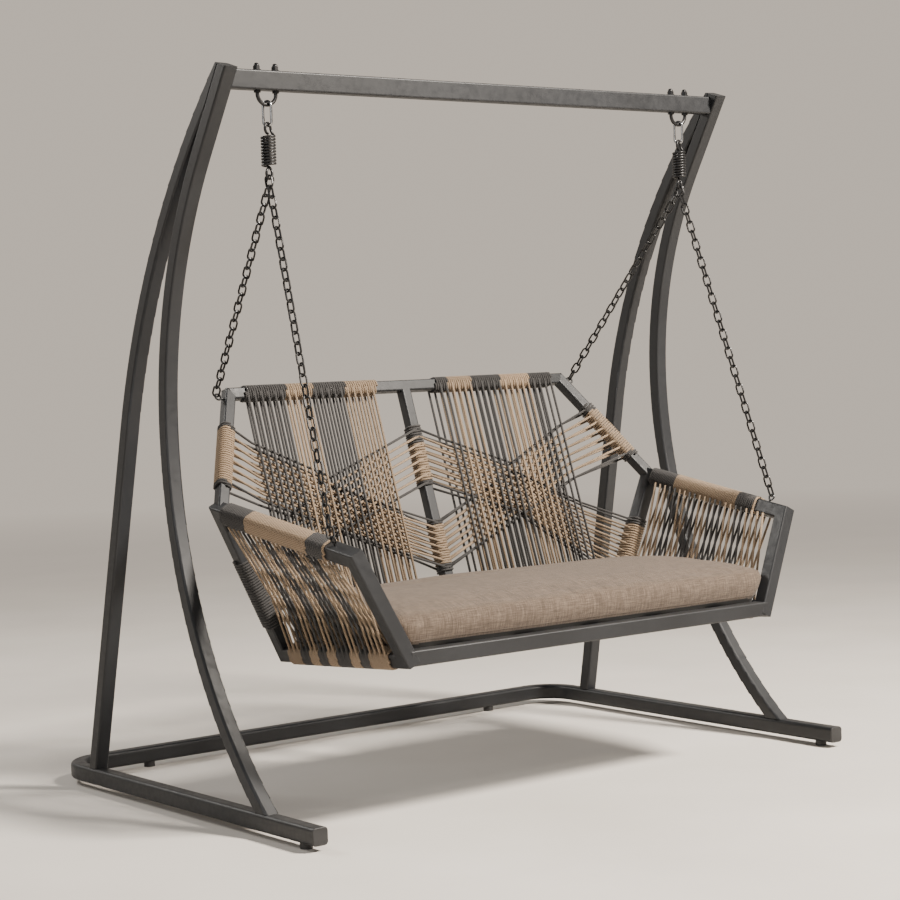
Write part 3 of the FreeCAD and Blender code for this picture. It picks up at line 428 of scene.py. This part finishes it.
def cushion_fabric():
    """Taupe slub weave: warp and weft of uneven yarns in close tones."""
    material, tree, shader = new_material("fabric_taupe")
    place = object_place(tree)
    warp = noise(tree, stretched(tree, place, (420.0, 26.0, 26.0)), 1.0, 5.0, 0.7)
    weft = noise(tree, stretched(tree, place, (26.0, 420.0, 420.0)), 1.0, 5.0, 0.7)
    half_warp, half_weft = (math_node(tree, "MULTIPLY", fibre, 0.5) for fibre in (warp, weft))
    yarn = math_node(tree, "ADD", half_warp, half_weft)
    stops = (0.38, (0.046, 0.031, 0.022)), (0.5, (0.102, 0.073, 0.052)), (0.62, (0.185, 0.139, 0.103))
    colour = ramp(tree, yarn, *stops)
    broad = spread(tree, noise(tree, place, 4.5, 4.0), 0.35, 0.65, 0.0, 0.16)
    colour = mixed(tree, broad, colour, (0.076, 0.053, 0.038))
    tree.links.new(colour, shader.inputs["Base Color"])
    shader.inputs["Roughness"].default_value = 0.92
    shader.inputs["Sheen Weight"].default_value = 0.12
    shader.inputs["Sheen Roughness"].default_value = 0.5
    parts = tree.nodes.new("ShaderNodeSeparateXYZ")
    tree.links.new(place, parts.inputs[0])
    cross = math_node(tree, "ADD", parts.outputs["Y"], parts.outputs["Z"])
    rate = 2 * math.pi / YARN_PITCH
    wave_x = math_node(tree, "SINE", math_node(tree, "MULTIPLY", parts.outputs["X"], rate))
    wave_y = math_node(tree, "SINE", math_node(tree, "MULTIPLY", cross, rate))
    weave = math_node(tree, "MULTIPLY", math_node(tree, "MULTIPLY", wave_x, wave_y), 0.35)
    tree.links.new(bump(tree, math_node(tree, "ADD", yarn, weave), 0.55, 0.0012), shader.inputs["Normal"])
    return material


def floor_finish():
    """Pale matt floor with faint broad tone changes, which fades into the backdrop far from the swing."""
    material, tree, shader = new_material("floor_pale")
    place = object_place(tree)
    tone = noise(tree, place, 1.6, 5.0, 0.55)
    colour = ramp(tree, tone, (0.3, (0.60, 0.565, 0.52)), (0.7, (0.66, 0.625, 0.58)))
    tree.links.new(colour, shader.inputs["Base Color"])
    shader.inputs["Roughness"].default_value = 0.7
    tree.links.new(bump(tree, noise(tree, place, 180.0, 4.0), 0.06, 0.001), shader.inputs["Normal"])
    away = tree.nodes.new("ShaderNodeVectorMath")
    away.operation = "LENGTH"
    tree.links.new(place, away.inputs[0])
    fade = tree.nodes.new("ShaderNodeMixShader")
    tree.links.new(spread(tree, away.outputs["Value"], *FLOOR_FADE, 0.0, 1.0), fade.inputs[0])
    tree.links.new(shader.outputs[0], fade.inputs[1])
    tree.links.new(add_node(tree, "ShaderNodeEmission", Color=(*BACKDROP, 1)).outputs[0], fade.inputs[2])
    tree.links.new(fade.outputs[0], tree.nodes["Material Output"].inputs["Surface"])
    return material


# Each cord's colours: painted shade for the grooves, painted highlight for the crests, then the flecks.
BEIGE_CORD = braided_cord("cord_beige", (0.098, 0.066, 0.041), (0.285, 0.205, 0.132), (0.38, 0.288, 0.198))
DARK_CORD = braided_cord("cord_dark", (0.011, 0.0105, 0.0105), (0.037, 0.035, 0.035), (0.082, 0.076, 0.072))
FABRIC = cushion_fabric()
# Near-black underside cloth: partly a dark underside fabric, partly painted shade in the gap under the
# cushion.
UNDERSIDE_CLOTH_AND_SHADE = braided_cord(
    "cloth_underside_and_painted_shade", (0.008, 0.008, 0.008), (0.016, 0.015, 0.015), (0.03, 0.028, 0.027)
)
SEAM_THREAD = braided_cord("seam_thread", (0.075, 0.056, 0.042), (0.135, 0.103, 0.078), (0.19, 0.15, 0.115))
SLOT_MATERIALS = {
    "anthracite_frame": powder_coat(),
    "black_steel": black_steel(),
    "zinc_steel": zinc_steel(),
    "black_plastic": black_plastic(),
    "beige_cord": BEIGE_CORD,
    "dark_cord": DARK_CORD,
    "cushion_fabric": FABRIC,
}


def finish_cad_nodes():
    """Give each CAD node the detailed material of its slot."""
    for part in frame["record"]["subparts"]:
        for slot in frame["nodes"][part["node"]].material_slots:
            slot.material = SLOT_MATERIALS[part["material_slot"]]


# Tubes: each piece gathers the lengths of cord that it is made of, and becomes one mesh at the end

class Tubes:
    def __init__(self, sides):
        self.sides = sides
        self.vertices = []
        self.faces = []
        self.face_materials = []
        self.uvs = []
        self.tones = []

    def add(self, points, diameter, material, tone):
        """One tube along a line of points; the UV runs in metres along it and once around it."""
        line = np.array([tuple(p) for p in points])
        heading = np.gradient(line, axis=0)
        heading /= np.linalg.norm(heading, axis=1)[:, None]
        steps = np.linalg.norm(np.diff(line, axis=0), axis=1)
        run = np.concatenate(([0.0], np.cumsum(steps)))
        across = np.zeros_like(line)
        across[0] = np.cross(heading[0], np.eye(3)[np.argmin(abs(heading[0]))])
        for k in range(len(line)):
            last = across[max(k - 1, 0)]
            turned = last - heading[k] * last.dot(heading[k])
            across[k] = turned / np.linalg.norm(turned)
        other = np.cross(heading, across)
        angles = 2 * math.pi * np.arange(self.sides) / self.sides
        cosines, sines = np.cos(angles)[None, :, None], np.sin(angles)[None, :, None]
        ring = cosines * across[:, None, :] + sines * other[:, None, :]
        base = len(self.vertices)
        self.vertices.extend((line[:, None, :] + ring * (diameter / 2)).reshape(-1, 3).tolist())
        self.tones.extend([tone] * (len(line) * self.sides))
        for k in range(len(line) - 1):
            for j in range(self.sides):
                n = (j + 1) % self.sides
                a, b = base + k * self.sides, base + (k + 1) * self.sides
                self.faces.append((a + j, a + n, b + n, b + j))
                low, high = j / self.sides, (j + 1) / self.sides
                self.uvs.extend(((run[k], low), (run[k], high), (run[k + 1], high), (run[k + 1], low)))
                self.face_materials.append(material)
        for start, order in ((base, -1), (base + (len(line) - 1) * self.sides, 1)):
            self.faces.append(tuple(start + j for j in range(self.sides))[::order])
            self.uvs.extend([(0.0, 0.0)] * self.sides)
            self.face_materials.append(material)

    def build(self, name, materials):
        mesh = bpy.data.meshes.new(name)
        mesh.from_pydata(self.vertices, [], self.faces)
        for material in materials:
            mesh.materials.append(material)
        mesh.polygons.foreach_set("material_index", self.face_materials)
        mesh.polygons.foreach_set("use_smooth", [True] * len(self.faces))
        layer = mesh.uv_layers.new(name="UVMap")
        layer.data.foreach_set("uv", np.array(self.uvs, np.float32).ravel())
        tone = mesh.attributes.new("tone", "FLOAT", "POINT")
        tone.data.foreach_set("value", np.array(self.tones, np.float32))
        mesh.update()
        return add_object(name, mesh)


def section_outline(size, corner):
    """Points round a square section with round corners, with the middle of each side."""
    half = size / 2
    points = []
    for k in range(4):
        turn = Matrix.Rotation(math.pi / 2 * k, 2)
        points.append(turn @ Vector((half, 0)))
        for angle in (0, 45, 90):
            a = math.radians(angle)
            place = Vector((half - corner + corner * math.cos(a), half - corner + corner * math.sin(a)))
            points.append(turn @ place)
    return points


class CordWork:
    """Cords of one piece in both colours, with a seeded tone and unevenness for each length."""

    def __init__(self, seed):
        self.tubes = Tubes(CORD_SIDES)
        self.random = random.Random(seed)

    def cord(self, points, colour):
        index = 0 if colour == "beige" else 1
        self.tubes.add(points, CORD, index, self.random.uniform(*TONE_RANGE))

    def winding(self, start, end, across, size, colour):
        """Close turns of cord round a square tube, from one place on its centre line to another."""
        axis = (end - start).normalized()
        x_axis = square_to(across, axis)
        y_axis = axis.cross(x_axis)
        outline = section_outline(size + CORD, WRAP_CORNER)
        length = (end - start).length
        turns = max(1, round(length / TURN_PITCH))
        pitch = length / turns
        points = []
        for turn in range(turns):
            wander = self.random.uniform(-TURN_WANDER, TURN_WANDER) * pitch
            for k, place in enumerate(outline):
                along = (turn + k / len(outline)) * pitch + wander
                points.append(start + axis * along + x_axis * place.x + y_axis * place.y)
        points.append(end + x_axis * outline[0].x + y_axis * outline[0].y)
        self.cord(points, colour)

    def build(self, name, node, slot):
        piece = self.tubes.build(name, [BEIGE_CORD, DARK_CORD])
        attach(piece, "seat")
        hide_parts(node)


def back_strands():
    """Front and rear strands of both back panels: colour and places in X."""
    strands = []
    for side, groups in ((-1, LEFT_BACK_GROUPS), (1, RIGHT_BACK_GROUPS)):
        x = PANEL_OUTER_X
        for colour, count in groups:
            for k in range(count):
                front_x = side * (x - (k + FRONT_SHIFT) * BACK_PITCH)
                rear_x = side * (x - k * BACK_PITCH) - side * REAR_SHIFT * BACK_PITCH
                strands.append((colour, front_x, rear_x))
            x -= count * BACK_PITCH
    return strands


def band_share(shares, number):
    return shares[0] + (shares[1] - shares[0]) * (number + 0.5) / BAND_CORDS


def band_outer(band, number):
    """Place of a band's cord on the centre line of the right-hand outer tube."""
    return band["start"].lerp(band["end"], band_share(band["outer_shares"], number))


def band_height(band, number, x):
    """Share of the back's length, from the top, at which a band's cord passes a place in X."""
    outer = band_outer(band, number)
    centre = band_share(band["centre_shares"], number)
    middle = band_share(band["mid_shares"], number)
    mid_z = TOP_MID.z + (LOW_MID.z - TOP_MID.z) * middle
    edge_z = outer.z + (mid_z - outer.z) * (outer.x - PANEL_EDGE_X) / (outer.x - PANEL_MID_X)
    edge = (TOP_MID.z - edge_z) / (TOP_MID.z - LOW_MID.z)
    x = abs(x)
    if x < PANEL_MID_X:
        return centre + (middle - centre) * x / PANEL_MID_X
    return middle + (edge - middle) * (x - PANEL_MID_X) / (PANEL_EDGE_X - PANEL_MID_X)


BANDS = {
    "upper": {
        "start": BACK_CORNER,
        "end": ARM_REAR,
        "across": BACK_NORMAL,
        "size": BACK_TUBE,
        "outer_shares": UPPER_POST_SHARES,
        "centre_shares": UPPER_CENTRE_SHARES,
        "mid_shares": UPPER_MID_SHARES,
        "back": 0.0,
    },
    "lower": {
        "start": ARM_REAR,
        "end": REAR_CORNER,
        "across": SIDE_NORMAL,
        "size": SEAT_TUBE,
        "outer_shares": LOWER_LEG_SHARES,
        "centre_shares": LOWER_CENTRE_SHARES,
        "mid_shares": LOWER_MID_SHARES,
        "back": LAYER_GAP,
    },
}


def front_depth(share):
    """Distance of the front strands from the back's middle plane, growing towards the thicker rear rail."""
    top = (BACK_TUBE + CORD) / 2
    low = (SEAT_TUBE + CORD) / 2
    return top + (low - top) * share


def on_back(x, share, depth):
    return TOP_MID.lerp(LOW_MID, share) + X_AXIS * x + BACK_NORMAL * depth


def make_back_cords():
    """Upright strands in two layers, and the windings that cover both rails."""
    works = {colour: CordWork(seed) for colour, seed in BACK_SEEDS.items()}
    reach = (SEAT_TUBE + CORD) / 2
    for side, groups in ((-1, LEFT_BACK_GROUPS), (1, RIGHT_BACK_GROUPS)):
        x = PANEL_OUTER_X
        for colour, count in groups:
            first = X_AXIS * (side * x)
            last = X_AXIS * (side * (x - count * BACK_PITCH))
            works[colour].winding(TOP_MID + first, TOP_MID + last, BACK_NORMAL, BACK_TUBE, colour)
            works[colour].winding(LOW_MID + first, LOW_MID + last, Z_AXIS, SEAT_TUBE, colour)
            x -= count * BACK_PITCH
    for colour, front_x, rear_x in back_strands():
        for x, layer in ((front_x, 1), (rear_x, -1)):
            top = on_back(x, 0, layer * front_depth(0))
            low = LOW_MID + X_AXIS * x - Y_AXIS * (layer * reach)
            works[colour].cord([top, top.lerp(low, 0.5), low], colour)
    for colour in works:
        works[colour].build("back_weave_" + colour, "back_cords_" + colour, colour + "_cord")


def band_cord_points(band, number, side, layer):
    """Points of one cord of a band, from the outer tube's winding across a panel to the centre post."""
    outer = band_outer(band, number)
    axis = (band["end"] - band["start"]).normalized()
    out_normal = square_to(BACK_NORMAL, axis)
    reach = (band["size"] + CORD) / 2
    points = [mirrored(outer + out_normal * (layer * reach), side)]
    for x in (PANEL_EDGE_X, PANEL_MID_X + BACK_PITCH, PANEL_MID_X, PANEL_MID_X - BACK_PITCH, PANEL_INNER_X):
        share = band_height(band, number, x)
        points.append(on_back(x * side, share, layer * (front_depth(share) - band["back"] - LAYER_GAP)))
    post = band_share(band["centre_shares"], number)
    points.append(on_back(side * CENTRE_GAP, post, layer * (BACK_TUBE + CORD) / 2))
    return points


def make_cross_cords():
    """The two bands that cross the back, with their windings on the outer tubes and the centre post."""
    for name, band in BANDS.items():
        work = CordWork(BAND_SEED)
        first, last = band["centre_shares"]
        for colour, a, b in CENTRE_WRAPS[name]:
            start = TOP_MID.lerp(LOW_MID, first + (last - first) * a)
            end = TOP_MID.lerp(LOW_MID, first + (last - first) * b)
            work.winding(start, end, X_AXIS, BACK_TUBE, colour)
        first, last = band["outer_shares"]
        for side in SIDES:
            for colour, a, b in OUTER_WRAPS[(name, side)]:
                start = mirrored(band["start"].lerp(band["end"], first + (last - first) * a), side)
                end = mirrored(band["start"].lerp(band["end"], first + (last - first) * b), side)
                work.winding(start, end, mirrored(band["across"], side), band["size"], colour)
            for number in range(BAND_CORDS):
                colour = "dark" if number in (0, BAND_CORDS - 1) else "beige"
                for layer in (1, -1):
                    work.cord(band_cord_points(band, number, side, layer), colour)
        work.build("cross_weave_" + name, "cross_cords_" + name, "beige_cord")


def make_side_cords():
    """Side panels: strands that cross between the arm and the side rail, and the windings on both."""
    strands = {colour: CordWork(seed) for colour, seed in STRAND_SEEDS.items()}
    wraps = {colour: CordWork(seed) for colour, seed in WRAP_SEEDS.items()}
    pitch_share = (SIDE_SHARES[1] - SIDE_SHARES[0]) / sum(count for colour, count in SIDE_GROUPS)
    reach = (SEAT_TUBE + CORD) / 2
    for side in SIDES:
        normal = mirrored(SIDE_NORMAL, side)
        arm = mirrored(ARM_REAR, side), mirrored(ARM_FRONT, side)
        rail = mirrored(REAR_CORNER, side), mirrored(FRONT_CORNER, side)
        panel_up = square_to(arm[0] - rail[0], (arm[1] - arm[0]).normalized())
        for colour, first, last in ARM_WRAPS:
            start, end = arm[0].lerp(arm[1], first), arm[0].lerp(arm[1], last)
            wraps[colour].winding(start, end, normal, SEAT_TUBE, colour)
        share = SIDE_SHARES[0]
        for colour, count in SIDE_GROUPS:
            last = share + count * pitch_share
            start, end = rail[0].lerp(rail[1], share), rail[0].lerp(rail[1], last)
            strands[colour].winding(start, end, normal, SEAT_TUBE, colour)
            for k in range(count):
                for layer, shift in SIDE_LAYERS:
                    at = share + (k + shift) * pitch_share
                    high = arm[0].lerp(arm[1], at) + normal * (layer * reach) - panel_up * (SEAT_TUBE / 2)
                    low = rail[0].lerp(rail[1], at) - normal * (layer * reach)
                    bends = [high.lerp(low, bend) for bend in SIDE_BENDS]
                    strands[colour].cord([high, *bends, low], colour)
            share = last
    for colour in strands:
        strands[colour].build("side_weave_" + colour, "side_cords_" + colour, colour + "_cord")
        wraps[colour].build("arm_winding_" + colour, "arm_wraps_" + colour, colour + "_cord")


# Springs

def spring_points(side):
    """Line of one spring's wire: upper loop, close coil and lower loop, with eased bends between them."""
    loop_axis = Vector((math.cos(SPRING_TURN), math.sin(SPRING_TURN), 0))
    hook_axis = Vector((math.sin(SPRING_TURN), -math.cos(SPRING_TURN), 0))
    origin = Vector((side * SPRING_X, SPRING_PIVOT_Y, 0))

    def loop(z, up, angle):
        a = math.radians(angle)
        place = loop_axis * math.cos(a) + Z_AXIS * (up * math.sin(a))
        return origin + Z_AXIS * z + place * SPRING_LOOP_RADIUS

    def coil(angle):
        a = math.radians(angle)
        place = loop_axis * math.cos(a) + hook_axis * math.sin(a)
        return origin + place * SPRING_RADIUS + Z_AXIS * (SPRING_COIL_TOP_Z - SPRING_PITCH * angle / 360)

    loop_angles = range(0, SPRING_LOOP_ANGLE + 1, SPRING_STEP_ANGLE)
    coil_angles = range(SPRING_BEND_ANGLE, 360 * SPRING_TURNS - SPRING_BEND_ANGLE + 1, SPRING_STEP_ANGLE)
    points = [loop(SPRING_UPPER_LOOP_Z, 1, angle) for angle in reversed(loop_angles)]
    middle = [coil(angle) for angle in coil_angles]
    lower = [loop(SPRING_LOWER_LOOP_Z, -1, angle) for angle in loop_angles]
    for part in (middle, lower):
        start, start_heading = points[-1], points[-1] - points[-2]
        end, end_heading = part[0], part[1] - part[0]
        span = (end - start).length
        handle = start + start_heading.normalized() * span * SPRING_BEND_SHARE
        last_handle = end - end_heading.normalized() * span * SPRING_BEND_SHARE
        for k in range(1, SPRING_BEND_STEPS):
            t = k / SPRING_BEND_STEPS
            a = start.lerp(handle, t).lerp(handle.lerp(last_handle, t), t)
            b = handle.lerp(last_handle, t).lerp(last_handle.lerp(end, t), t)
            points.append(a.lerp(b, t))
        points += part
    return points


def make_springs():
    for side, name in ((-1, "left"), (1, "right")):
        tubes = Tubes(SPRING_SIDES)
        tubes.add(spring_points(side), SPRING_WIRE, 0, PLAIN_TONE)
        spring = tubes.build("spring_coil_" + name, [SLOT_MATERIALS["black_steel"]])
        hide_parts("spring_" + name)
        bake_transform(spring)


# Cushion

def make_cushion():
    """Bench cushion: the CAD form remeshed, drawn in a little and swelled by cloth pressure."""
    mesh = frame["nodes"]["seat_cushion"].data.copy()
    mesh.name = "cushion"
    cushion = add_object("cushion", mesh)
    bm = bmesh.new()
    bm.from_mesh(mesh)
    bmesh.ops.remove_doubles(bm, verts=bm.verts, dist=CUSHION_WELD)
    bm.to_mesh(mesh)
    bm.free()
    remesh = cushion.modifiers.new("remesh", "REMESH")
    remesh.mode = "VOXEL"
    remesh.voxel_size = CUSHION_VOXEL
    apply_modifiers(cushion)
    smooth(cushion, CUSHION_SMOOTHING)
    mesh = cushion.data
    mesh.materials.clear()
    mesh.materials.append(FABRIC)
    mesh.materials.append(UNDERSIDE_CLOTH_AND_SHADE)
    mesh.polygons.foreach_set("use_smooth", [True] * len(mesh.polygons))
    shrink(cushion, CUSHION_INSET)
    swell(cushion)
    refine(cushion)
    settle(cushion)
    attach(cushion, "seat")
    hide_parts("seat_cushion")
    make_seams(cushion)


def make_seams(cushion):
    """Sewn seams round the cushion, a little under its top edge and over its bottom edge."""
    surface = BVHTree.FromObject(cushion, bpy.context.evaluated_depsgraph_get())
    low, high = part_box("seat_cushion")
    centre = (Vector(low) + Vector(high)) / 2
    width, depth = high[0] - low[0], high[1] - low[1]
    seams = Tubes(SEAM_SIDES)
    for front_z, rear_z in SEAM_HEIGHTS:
        points = []
        for k in range(SEAM_STEPS + 1):
            angle = 2 * math.pi * k / SEAM_STEPS
            aim = Vector((math.cos(angle) * width, math.sin(angle) * depth, 0))
            start = centre + aim / max(abs(aim.x) / width, abs(aim.y) / depth)
            share = (min(max(start.y, low[1]), high[1]) - low[1]) / depth
            start.z = front_z + (rear_z - front_z) * share
            inner = Vector((start.x * SEAM_AIM_SHARE, centre.y, start.z))
            hit, normal, index, distance = surface.ray_cast(start, (inner - start).normalized())
            if hit is not None:
                points.append(hit - normal * SEAM_SINK)
        seams.add(points, SEAM_WIDTH, 0, PLAIN_TONE)
    piece = seams.build("cushion_seams", [SEAM_THREAD])
    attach(piece, "seat")


def apply_modifiers(piece):
    graph = bpy.context.evaluated_depsgraph_get()
    made = bpy.data.meshes.new_from_object(piece.evaluated_get(graph))
    piece.modifiers.clear()
    piece.data = made


def smooth(piece, rounds):
    modifier = piece.modifiers.new("smooth", "SMOOTH")
    modifier.iterations = rounds
    apply_modifiers(piece)


def refine(piece):
    modifier = piece.modifiers.new("refine", "SUBSURF")
    modifier.levels = 1
    modifier.render_levels = 1
    apply_modifiers(piece)


def vertex_array(piece, name):
    values = np.zeros(len(piece.data.vertices) * 3, np.float32)
    piece.data.vertices.foreach_get(name, values)
    return values.reshape(-1, 3)


def set_places(piece, places):
    piece.data.vertices.foreach_set("co", places.astype(np.float32).ravel())
    piece.data.update()


def shrink(piece, depth):
    """Draw every point in along its normal."""
    set_places(piece, vertex_array(piece, "co") - vertex_array(piece, "normal") * depth)


def swell(piece):
    """Cloth pressure from inside, with each point's movement capped."""
    before = vertex_array(piece, "co")
    cloth = piece.modifiers.new("cloth", "CLOTH")
    settings = cloth.settings
    settings.use_pressure = True
    settings.uniform_pressure_force = CUSHION_PRESSURE
    settings.quality = 5
    settings.mass = 0.3
    settings.tension_stiffness = 12
    settings.compression_stiffness = 12
    settings.bending_stiffness = 0.4
    settings.effector_weights.gravity = 0
    cloth.collision_settings.use_collision = False
    scene = bpy.context.scene
    for number in range(1, CUSHION_FRAMES + 1):
        scene.frame_set(number)
    apply_modifiers(piece)
    scene.frame_set(1)
    move = vertex_array(piece, "co") - before
    length = np.linalg.norm(move, axis=1)
    move *= np.minimum(1.0, CUSHION_SWELL / np.maximum(length, 1e-9))[:, None]
    set_places(piece, before + move)


def settle(piece):
    """Bring the underside down onto the slats, and press soft hollows and creases into the cover."""
    places = vertex_array(piece, "co")
    normals = vertex_array(piece, "normal")
    slope = (REAR_CORNER.z - FRONT_CORNER.z) / (REAR_CORNER.y - FRONT_CORNER.y)
    base = FRONT_CORNER.z + SEAT_TUBE / 2
    heights = places[:, 2] - base - slope * (places[:, 1] - FRONT_CORNER.y)
    lift = heights.min() - CUSHION_CLEARANCE
    low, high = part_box("seat_slats")
    slat_half = SLAT_WIDTH / 2
    slats = np.linspace(low[0] + slat_half, high[0] - slat_half, SLAT_COUNT).tolist()
    moved = places.copy()
    for k, (x, y, z) in enumerate(places.tolist()):
        lower = 1 - smooth_step(heights[k], LOWER_ZONE)
        upper = smooth_step(heights[k], UPPER_ZONE)
        hollow = noise_at(Vector((x * HOLLOW_SCALE_X, y * HOLLOW_SCALE_Y, HOLLOW_LEVEL))) * HOLLOW_DEPTH
        from_crease = y - CREASE_Y - CREASE_WAVE * math.sin(CREASE_WAVE_RATE * x)
        crease = CREASE_DEPTH * math.exp(-(from_crease / CREASE_WIDTH) ** 2)
        near_seam = math.exp(-((z - SEAM_HEIGHTS[0][0]) / PUCKER_WIDTH) ** 2)
        gather = Vector((x * PUCKER_SCALE, y * PUCKER_SCALE, z * PUCKER_SCALE_Z))
        pucker = noise_at(gather) * PUCKER_DEPTH * near_seam
        beside = min(abs(x - place) for place in slats) - slat_half
        sag = SAG_DEPTH * smooth_step(beside, SAG_ZONE) * smooth_step(y, SAG_FRONT_ZONE)
        lip = LIP_DROP * smooth_step(-y, LIP_ZONE) + END_DROP * smooth_step(abs(x), END_ZONE)
        moved[k] += normals[k] * pucker
        moved[k, 0] *= 1 + END_STRETCH * smooth_step(abs(x), STRETCH_ZONE)
        moved[k, 2] += upper * (hollow - crease) - lower * (lift + sag + lip)
    set_places(piece, moved)
    # Faces that face down or sit low get the near-black underside cloth, which is partly painted shade.
    for face in piece.data.polygons:
        above = face.center.z - base - slope * (face.center.y - FRONT_CORNER.y)
        below = face.normal.z < UNDERSIDE_SHADE_FACING or above < UNDERSIDE_SHADE_HEIGHT
        face.material_index = 1 if below else 0


# Stage

def make_camera():
    ahead = Vector((math.sin(CAMERA_YAW), math.cos(CAMERA_YAW), 0))
    right = Vector((math.cos(CAMERA_YAW), -math.sin(CAMERA_YAW), 0))
    forward = ahead * math.cos(CAMERA_PITCH) + Z_AXIS * math.sin(CAMERA_PITCH)
    upward = Z_AXIS * math.cos(CAMERA_PITCH) - ahead * math.sin(CAMERA_PITCH)
    image_right = right * math.cos(CAMERA_ROLL) + upward * math.sin(CAMERA_ROLL)
    image_up = upward * math.cos(CAMERA_ROLL) - right * math.sin(CAMERA_ROLL)
    data = bpy.data.cameras.new("camera")
    data.lens = CAMERA_LENS
    data.sensor_width = CAMERA_SENSOR
    camera = add_object("camera", data)
    turn = Matrix((image_right, image_up, -forward)).transposed()
    camera.matrix_world = Matrix.Translation(CAMERA_PLACE) @ turn.to_4x4()
    bpy.context.scene.camera = camera


def add_area_light(name, place, size, power, colour):
    data = bpy.data.lights.new(name, "AREA")
    data.shape = "DISK"
    data.size = size
    data.energy = power
    data.color = colour
    light = add_object(name, data)
    light.location = place
    light.rotation_euler = (LIGHT_TARGET - place).to_track_quat("-Z", "Y").to_euler()


def make_stage():
    mesh = bpy.data.meshes.new("floor")
    corners = [(x * FLOOR_HALF, y * FLOOR_HALF, 0) for x, y in ((-1, -1), (1, -1), (1, 1), (-1, 1))]
    mesh.from_pydata(corners, [], [(0, 1, 2, 3)])
    mesh.materials.append(floor_finish())
    floor = add_object("floor", mesh)
    world = bpy.data.worlds.new("studio")
    bpy.context.scene.world = world
    world.use_nodes = True
    tree = world.node_tree
    facing = tree.nodes.new("ShaderNodeSeparateXYZ")
    tree.links.new(tree.nodes.new("ShaderNodeTexCoord").outputs["Generated"], facing.inputs[0])
    height = spread(tree, facing.outputs["Z"], *SKY_FADE, 0.0, 1.0)
    sky = ramp(tree, height, (0.0, BACKDROP), (1.0, OVERHEAD))
    tree.links.new(sky, tree.nodes["Background"].inputs["Color"])
    for light in LIGHTS:
        add_area_light(*light)


finish_cad_nodes()
make_back_cords()
make_cross_cords()
make_side_cords()
make_springs()
make_cushion()
make_camera()
make_stage()
